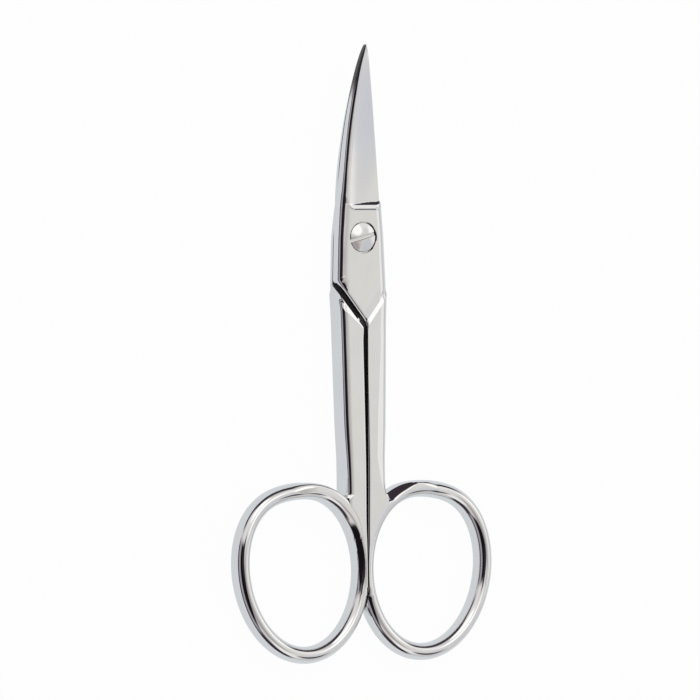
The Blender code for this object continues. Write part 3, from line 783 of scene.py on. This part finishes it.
def polished_nickel(name, pale, deep, roughness_low, roughness_high, grain_turn):
    """Bright nickel plate on polished steel.

    It mirrors its surroundings, slightly warm. Buffing leaves faint lines along the piece,
    drawn 0.25 mm apart, because the real ones, of some 0.02 mm, are too fine to show, and
    soft waves some 4 mm long that bend the reflections. Where a half is marked with painted
    shade, between the halves and near the tip, the steel's colour is painted darker, and it is
    rougher, as ground, too rough to mirror anything clearly.
    """
    material = bpy.data.materials.new(name)
    material.use_nodes = True
    tree = material.node_tree
    shader = tree.nodes["Principled BSDF"]
    shader.inputs["Metallic"].default_value = 1.0
    place = add_node(tree, "ShaderNodeTexCoord").outputs["Object"]
    along = add_node(tree, "ShaderNodeMapping",
                     values={"Rotation": (0.0, 0.0, grain_turn), "Scale": (1.0, GRAIN_STRETCH, 1.0)},
                     links={"Vector": place}).outputs["Vector"]
    grain = add_node(tree, "ShaderNodeTexNoise",
                     values={"Scale": 1.0 / (GRAIN_SPACING * MM), "Detail": 3.0,
                             "Roughness": 0.6},
                     links={"Vector": along}).outputs["Fac"]
    waves = add_node(tree, "ShaderNodeTexNoise",
                     values={"Scale": 1.0 / (WAVE_LENGTH * MM), "Detail": 1.0,
                             "Roughness": 0.4},
                     links={"Vector": place}).outputs["Fac"]
    tone = add_node(tree, "ShaderNodeMix", settings={"data_type": "RGBA"},
                    values={6: srgb(pale), 7: srgb(deep)}, links={0: waves}).outputs[2]
    rough = add_node(tree, "ShaderNodeMapRange",
                     values={"From Min": 0.3, "From Max": 0.7, "To Min": roughness_low,
                             "To Max": roughness_high},
                     links={"Value": grain}).outputs["Result"]
    soft = add_node(tree, "ShaderNodeBump",
                    values={"Strength": 1.0, "Distance": WAVE_DEPTH * MM},
                    links={"Height": waves}).outputs["Normal"]
    fine = add_node(tree, "ShaderNodeBump",
                    values={"Strength": 0.3, "Distance": GRAIN_DEPTH * MM},
                    links={"Height": grain, "Normal": soft}).outputs["Normal"]
    # Painted shade: the stored share turns the colour to the dark steel and raises the roughness
    ground = add_node(tree, "ShaderNodeAttribute",
                      settings={"attribute_name": "painted_shade_and_ground_finish"}).outputs["Fac"]
    tone = add_node(tree, "ShaderNodeMix", settings={"data_type": "RGBA"},
                    values={7: srgb(PAINTED_SHADE_STEEL)}, links={0: ground, 6: tone}).outputs[2]
    rough = add_node(tree, "ShaderNodeMix", values={3: GROUND_ROUGHNESS},
                     links={0: ground, 2: rough}).outputs[0]
    tree.links.new(tone, shader.inputs["Base Color"])
    tree.links.new(rough, shader.inputs["Roughness"])
    tree.links.new(fine, shader.inputs["Normal"])
    return material


def dress(piece, material):
    """Gives a piece its one material, and smooth shading between its sharp edges."""
    piece.data.materials.clear()
    piece.data.materials.append(material)
    piece.data.shade_smooth()
    piece.data.set_sharp_from_angle(angle=math.radians(SHARP_DEGREES))


half_nickel = polished_nickel("half_polished_nickel_plate", "#E9E8E6", "#E3E2E1", 0.05, 0.10, 0.0)

bore, counterbore = PIN_RADIUS + BORE_CLEARANCE, HEAD_RADIUS + HEAD_CLEARANCE
bore_start = [(0.0, -BORE_REACH), (bore, -BORE_REACH)]
front_bore = bore_start + [(bore, HEAD_SEAT), (counterbore, HEAD_SEAT),
                           (counterbore, BOX_HEIGHT - BORE_RIM),
                           (counterbore + BORE_RIM * 2.0, BOX_HEIGHT + BORE_RIM),
                           (counterbore + BORE_RIM * 2.0, BORE_REACH), (0.0, BORE_REACH)]
back_bore = bore_start + [(bore, BORE_REACH), (0.0, BORE_REACH)]

for half, side, ledge_run, cutter in (("front", 1.0, LEDGE_RUN, front_bore),
                                      ("back", -1.0, BACK_LEDGE_RUN, back_bore)):
    skin = placed(body_skin(ledge_run), side)
    piece = add_piece(half + "_forging", facing_out(grid_mesh(half + "_forging", skin, False)))
    combine(piece, facing_out(grid_mesh("ring", placed(ring_skin(), side), True)), "UNION")
    combine(piece, facing_out(turned_mesh("bore", cutter, BORE_STEPS)), "DIFFERENCE")
    # Painted shade: darker steel where shade falls between the halves and near the tip
    store_painted_shade(piece, side)
    dress(piece, half_nickel)
    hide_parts(half + "_half")
    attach(piece, half)


# Pivot screw: turned from steel, with a low domed head, a sawn slot and a pin, polished and
# nickel plated like the halves. It sits in the front half's counterbore and turns with the
# back half, into which the real one is screwed.
HEAD_EDGE_HEIGHT = 1.64
HEAD_DOME_HEIGHT = 1.92
HEAD_EDGE_ROUND = 0.10
SEAT_CLEARANCE = 0.05
SLOT_WIDTH = 0.44
SLOT_EDGE_ROUND = 0.16
SLOT_EDGE_DEGREES = 75.0         # how much of a quarter turn that rounding makes
SLOT_EDGE_CLEAR = 0.012          # and how far above the dome it ends
SLOT_DEPTH = 0.50
SLOT_DEGREES = 15.0              # the slot's turn from +X
SLOT_HALF_REACH = 3.0            # its cutter reaches past the head on both sides
SLOT_CUT_ABOVE = 1.0             # and above it
PIN_END_HEIGHT = 1.72            # the pin's end, below the middle
PIN_CHAMFER = 0.15
HEAD_STEPS = 120
GRAIN_DEGREES = 75.0             # the head's buffing lines, from the halves'


def head_profile():
    """The screw's outline from the top of its dome to its end: radius and height.

    The dome falls by the square of the radius. A quarter circle rounds the head's edge.
    """
    flat = HEAD_RADIUS - HEAD_EDGE_ROUND
    share = np.linspace(0.0, 1.0, 15)
    dome = np.stack([flat * share,
                     HEAD_DOME_HEIGHT - (HEAD_DOME_HEIGHT - HEAD_EDGE_HEIGHT) * share ** 2], 1)
    turn = np.linspace(0.0, math.pi / 2.0, 6)[1:]
    edge = np.stack([flat + HEAD_EDGE_ROUND * np.sin(turn),
                     HEAD_EDGE_HEIGHT - HEAD_EDGE_ROUND * (1.0 - np.cos(turn))], 1)
    rest = np.array([
        (HEAD_RADIUS, HEAD_SEAT + SEAT_CLEARANCE), (PIN_RADIUS, HEAD_SEAT + SEAT_CLEARANCE),
        (PIN_RADIUS, -PIN_END_HEIGHT + PIN_CHAMFER), (PIN_RADIUS - PIN_CHAMFER, -PIN_END_HEIGHT),
        (0.0, -PIN_END_HEIGHT)])
    return np.vstack([dome, edge, rest]).tolist()


def slot_cutter():
    """Bar as wide as the slot, along it, whose sides turn outward just under the dome.

    Its sides end in part of a circle that follows the dome, which rounds the slot's edges.
    """
    along = np.linspace(-SLOT_HALF_REACH, SLOT_HALF_REACH, 41)
    dome = HEAD_DOME_HEIGHT - (HEAD_DOME_HEIGHT - HEAD_EDGE_HEIGHT) * (along / HEAD_RADIUS) ** 2
    turn = np.radians(np.linspace(0.0, SLOT_EDGE_DEGREES, 7))
    reach = SLOT_WIDTH / 2.0 + SLOT_EDGE_ROUND * (1.0 - np.cos(turn))
    rise = dome[:, None] + SLOT_EDGE_CLEAR \
        + SLOT_EDGE_ROUND * (np.sin(turn) - math.sin(turn[-1]))
    floor = np.full((len(along), 1), HEAD_DOME_HEIGHT - SLOT_DEPTH)
    top = np.full((len(along), 1), HEAD_DOME_HEIGHT + SLOT_CUT_ABOVE)
    side = np.concatenate([floor, rise, top], axis=1)
    reach = np.concatenate([reach[:1], reach, reach[-1:]])
    across, height = np.concatenate([-reach, reach[::-1]]), np.hstack([side, side[:, ::-1]])
    turned = math.radians(SLOT_DEGREES)
    x = along[:, None] * math.cos(turned) - across * math.sin(turned)
    y = along[:, None] * math.sin(turned) + across * math.cos(turned)
    return grid_mesh("slot", np.stack([x, y, height], -1) + PIVOT_PLACE, False)


screw_nickel = polished_nickel("screw_polished_nickel_plate", "#E4E2DF", "#DCDBDA", 0.08, 0.14,
                               math.radians(GRAIN_DEGREES))
screw_mesh = turned_mesh("slotted_screw", head_profile(), HEAD_STEPS)
screw = add_piece("slotted_screw", facing_out(screw_mesh))
combine(screw, facing_out(slot_cutter()), "DIFFERENCE")
dress(screw, screw_nickel)
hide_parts("pivot_screw")
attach(screw, "back")


# Studio: a pale table and a tent of white cloth lit from outside. The tent is open, and so
# dark, where the camera looks in and low down on its far side. Its right side is the brightest.
def add_floor():
    """Pale table just under the scissors, white to the camera apart from a soft shadow.

    What the metal mirrors of it is mostly one pale tone, so that the shadow stays out of it.
    """
    size, below = 0.6, 0.02 * MM
    white_share, pale_share = 0.97, 0.85
    mesh = bpy.data.meshes.new("table")
    mesh.from_pydata([(-size, -size, 0.0), (size, -size, 0.0), (size, size, 0.0),
                      (-size, size, 0.0)], [], [(0, 1, 2, 3)])
    floor = add_piece("table", mesh)
    floor.location.z = -below
    material = bpy.data.materials.new("white_table_top")
    material.use_nodes = True
    tree = material.node_tree
    tree.nodes.clear()
    path = add_node(tree, "ShaderNodeLightPath")
    matt = add_node(tree, "ShaderNodeBsdfDiffuse", values={"Color": srgb("#F6F8FC")})
    white = add_node(tree, "ShaderNodeEmission", values={"Color": srgb("#FFFFFF")})
    pale = add_node(tree, "ShaderNodeEmission", values={"Color": srgb("#E9EEF3")})
    seen = add_node(tree, "ShaderNodeMath", settings={"operation": "MULTIPLY"},
                    values={1: white_share}, links={0: path.outputs["Is Camera Ray"]})
    mirrored = add_node(tree, "ShaderNodeMath", settings={"operation": "MULTIPLY"},
                        values={1: pale_share}, links={0: path.outputs["Is Glossy Ray"]})
    mixed = add_node(tree, "ShaderNodeMixShader", links={0: seen.outputs[0], 1: matt.outputs[0],
                                                         2: white.outputs[0]})
    mixed = add_node(tree, "ShaderNodeMixShader", links={0: mirrored.outputs[0],
                                                         1: mixed.outputs[0], 2: pale.outputs[0]})
    add_node(tree, "ShaderNodeOutputMaterial", links={"Surface": mixed.outputs[0]})
    mesh.materials.append(material)


def tent_direction(polar, turn):
    """Unit vector at that angle from straight up and that turn about it from +X, in degrees."""
    polar, turn = math.radians(polar), math.radians(turn)
    return (math.sin(polar) * math.cos(turn), math.sin(polar) * math.sin(turn), math.cos(polar))


def add_tent():
    """World light by direction: bands of tones by the angle from straight up, and patches.

    The cloth's band goes all round. Others take its place by soft-edged wedges of the compass:
    the far side and the left front, which are dark low down, and the front, through which the
    camera looks in. The patches are brighter and darker cones, also with soft edges.
    """
    world = bpy.data.worlds.new("light_tent")
    bpy.context.scene.world = world
    world.use_nodes = True
    tree = world.node_tree
    tree.nodes.clear()
    direction = add_node(tree, "ShaderNodeTexCoord").outputs["Generated"]
    height = add_node(tree, "ShaderNodeSeparateXYZ", links={0: direction}).outputs["Z"]
    polar = add_node(tree, "ShaderNodeMath", settings={"operation": "ARCCOSINE"},
                     links={0: height}).outputs[0]
    share = add_node(tree, "ShaderNodeMath", settings={"operation": "DIVIDE"},
                     values={1: math.pi}, links={0: polar}).outputs[0]

    def band(stops):
        """Colour by the angle from straight up, in degrees, straight between its stops."""
        node = add_node(tree, "ShaderNodeValToRGB", links={0: share})
        stop = node.color_ramp.elements
        while len(stop) < len(stops):
            stop.new(1.0)
        for element, (angle, code) in zip(stop, stops):
            element.position, element.color = angle / 180.0, srgb(code)
        return node.outputs["Color"]

    overhead = [(0.0, "#8D898C"), (10.0, "#A3A1A1")]
    low_opening = [(91.0, "#3A333A"), (95.0, "#D8D8DA"), (180.0, "#E0E4E8")]
    cloth = band(overhead + [(20.0, "#CBC9C8"), (27.0, "#DBDAD8"), (33.0, "#EEEDEA"),
                             (42.0, "#E9E9E7"), (60.0, "#E4E4E4"), (78.0, "#D2D2D3"),
                             (90.0, "#D8D8DA"), (180.0, "#E0E4E8")])
    far = band(overhead + [(20.0, "#CBC9C8"), (27.0, "#DBDAD8"), (42.0, "#E9E9E7"),
                           (58.0, "#D6D4D6"), (66.0, "#7A747A"), (72.0, "#3A333A")] + low_opening)
    side = band(overhead + [(20.0, "#A8A4A6"), (30.0, "#B8B4B6"), (42.0, "#E4E2E2"),
                            (50.0, "#E4E2E2"), (58.0, "#8A858A"), (66.0, "#3A333A")] + low_opening)
    front = band([(0.0, "#5A5258"), (10.0, "#3A3036"), (17.0, "#161216"), (57.0, "#1A161C"),
                  (62.0, "#A5A1AA"), (77.0, "#AEAAB4"), (81.0, "#45414A"), (92.0, "#45414A"),
                  (96.0, "#C0C4CC"), (180.0, "#D8DCE2")])
    level = add_node(tree, "ShaderNodeVectorMath", settings={"operation": "MULTIPLY"},
                     values={1: (1.0, 1.0, 0.0)}, links={0: direction}).outputs[0]
    level = add_node(tree, "ShaderNodeVectorMath", settings={"operation": "NORMALIZE"},
                     links={0: level}).outputs[0]

    def cone(source, axis, full, end):
        """Share that is 1 within one angle of the axis, in degrees, and 0 beyond another."""
        along = add_node(tree, "ShaderNodeVectorMath", settings={"operation": "DOT_PRODUCT"},
                         values={1: axis}, links={0: source}).outputs["Value"]
        return add_node(tree, "ShaderNodeMapRange", settings={"interpolation_type": "SMOOTHSTEP"},
                        values={"From Min": math.cos(math.radians(end)),
                                "From Max": math.cos(math.radians(full))},
                        links={"Value": along}).outputs["Result"]

    wedges = [
        # band, turn from +X, half angle where full, where ended
        (far, 90.0, 48.0, 62.0),
        (side, 254.0, 20.0, 32.0),
        (front, 198.0, 35.0, 46.0),
    ]
    colour = cloth
    for tones, turn, full, end in wedges:
        share = cone(level, tent_direction(90.0, turn), full, end)
        colour = add_node(tree, "ShaderNodeMix", settings={"data_type": "RGBA"},
                          links={0: share, 6: colour, 7: tones}).outputs[2]
    patches = [
        # angle from straight up, turn, half angle where full, where ended, colour, strength
        (18.0, 85.0, 8.0, 24.0, "#F4F4F2", 1.0),
        (23.0, 44.0, 8.0, 15.0, "#FFFFFF", 1.35),
        (50.0, 44.0, 8.0, 19.0, "#FFFFFF", 1.0),
        (60.0, 16.0, 8.0, 17.0, "#FFFFFF", 1.25),
        (60.0, 0.0, 6.0, 12.0, "#FFFFFF", 1.0),
        (44.0, 339.0, 8.0, 16.0, "#DCDEE6", 1.0),
        (52.0, 281.0, 9.0, 19.0, "#FFFFFF", 1.0),
        (55.0, 132.0, 10.0, 26.0, "#F8F4F6", 0.95),
        (45.0, 105.0, 14.0, 20.0, "#FFFFFF", 1.3),
        (54.0, 312.0, 8.0, 15.0, "#555055", 1.0),
        (24.0, 300.0, 6.0, 14.0, "#B5AEB0", 1.0),
        (22.0, 170.0, 7.0, 16.0, "#3A3036", 1.0),
    ]
    for polar_angle, turn, full, end, code, strength in patches:
        tint = tuple(c * strength for c in srgb(code)[:3]) + (1.0,)
        colour = add_node(tree, "ShaderNodeMix", settings={"data_type": "RGBA"}, values={7: tint},
                          links={0: cone(direction, tent_direction(polar_angle, turn), full, end),
                                 6: colour}).outputs[2]
    path = add_node(tree, "ShaderNodeLightPath")
    light = add_node(tree, "ShaderNodeBackground", links={"Color": colour})
    white = add_node(tree, "ShaderNodeBackground", values={"Color": srgb("#FFFFFF")})
    mixed = add_node(tree, "ShaderNodeMixShader", links={0: path.outputs["Is Camera Ray"],
                                                         1: light.outputs[0], 2: white.outputs[0]})
    add_node(tree, "ShaderNodeOutputWorld", links={"Surface": mixed.outputs[0]})


def add_camera():
    """Long lens, square to the scissors' length and tilted to the left of straight above.

    Its tilt, roll, target and focal length were fitted to the photo's outline.
    """
    tilt, roll = math.radians(32.154), math.radians(0.883)
    target = Vector((-1.055, 0.528, 1.307))
    back = Vector((-math.sin(tilt), 0.0, math.cos(tilt)))
    level, up = Vector((math.cos(tilt), 0.0, math.sin(tilt))), Vector((0.0, 1.0, 0.0))
    right = level * math.cos(roll) - up * math.sin(roll)
    above = level * math.sin(roll) + up * math.cos(roll)
    distance, sensor, focal_pixels, image = 1600.0, 36.0, 10976.0, 700.0
    place = (target + back * distance) * MM
    data = bpy.data.cameras.new("camera")
    data.sensor_width = sensor
    data.lens = focal_pixels / image * sensor
    data.clip_start, data.clip_end = 0.05, 20.0
    camera = bpy.data.objects.new("camera", data)
    camera.matrix_world = Matrix([[right[k], above[k], back[k], place[k]] for k in range(3)]
                                 + [[0.0, 0.0, 0.0, 1.0]])
    bpy.context.scene.collection.objects.link(camera)
    bpy.context.scene.camera = camera


add_floor()
add_tent()
add_camera()
bpy.context.scene.view_settings.view_transform = "Standard"
